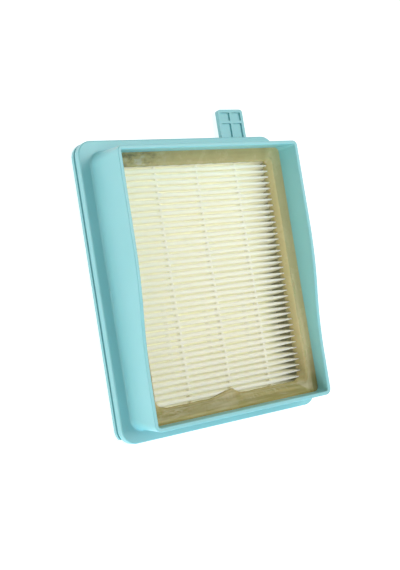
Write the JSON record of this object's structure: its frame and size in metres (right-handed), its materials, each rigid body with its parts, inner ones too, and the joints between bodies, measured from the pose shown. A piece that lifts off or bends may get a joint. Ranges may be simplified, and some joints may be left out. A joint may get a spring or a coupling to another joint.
{
  "type": "vacuum cleaner exhaust filter",
  "caption": "Rectangular pleated exhaust filter cassette for a vacuum cleaner, with a stepped moulded frame, a grooved edge flange and a pull tab.",
  "frame": {"origin": "on the rear plane, under the middle of the whole outline, pull tab included", "axes": "+X across the cassette, +Y towards the pull tab, +Z out of the open front"},
  "size_m": [0.122, 0.1664, 0.0356],
  "materials": {
    "frame_plastic": "satin turquoise moulded plastic",
    "filter_paper": "cream white fibre paper",
    "potting_adhesive": "cured tan potting, glossy",
    "hot_melt": "pale hot-melt bead"
  },
  "bodies": {
    "root": {"frame": "frame_plastic", "filter_media": "filter_paper", "adhesive_border": "potting_adhesive", "front_separator_1": "hot_melt", "front_separator_2": "hot_melt", "front_separator_3": "hot_melt", "rear_separator_1": "hot_melt", "rear_separator_2": "hot_melt", "rear_separator_3": "hot_melt"}
  },
  "joints": []
}
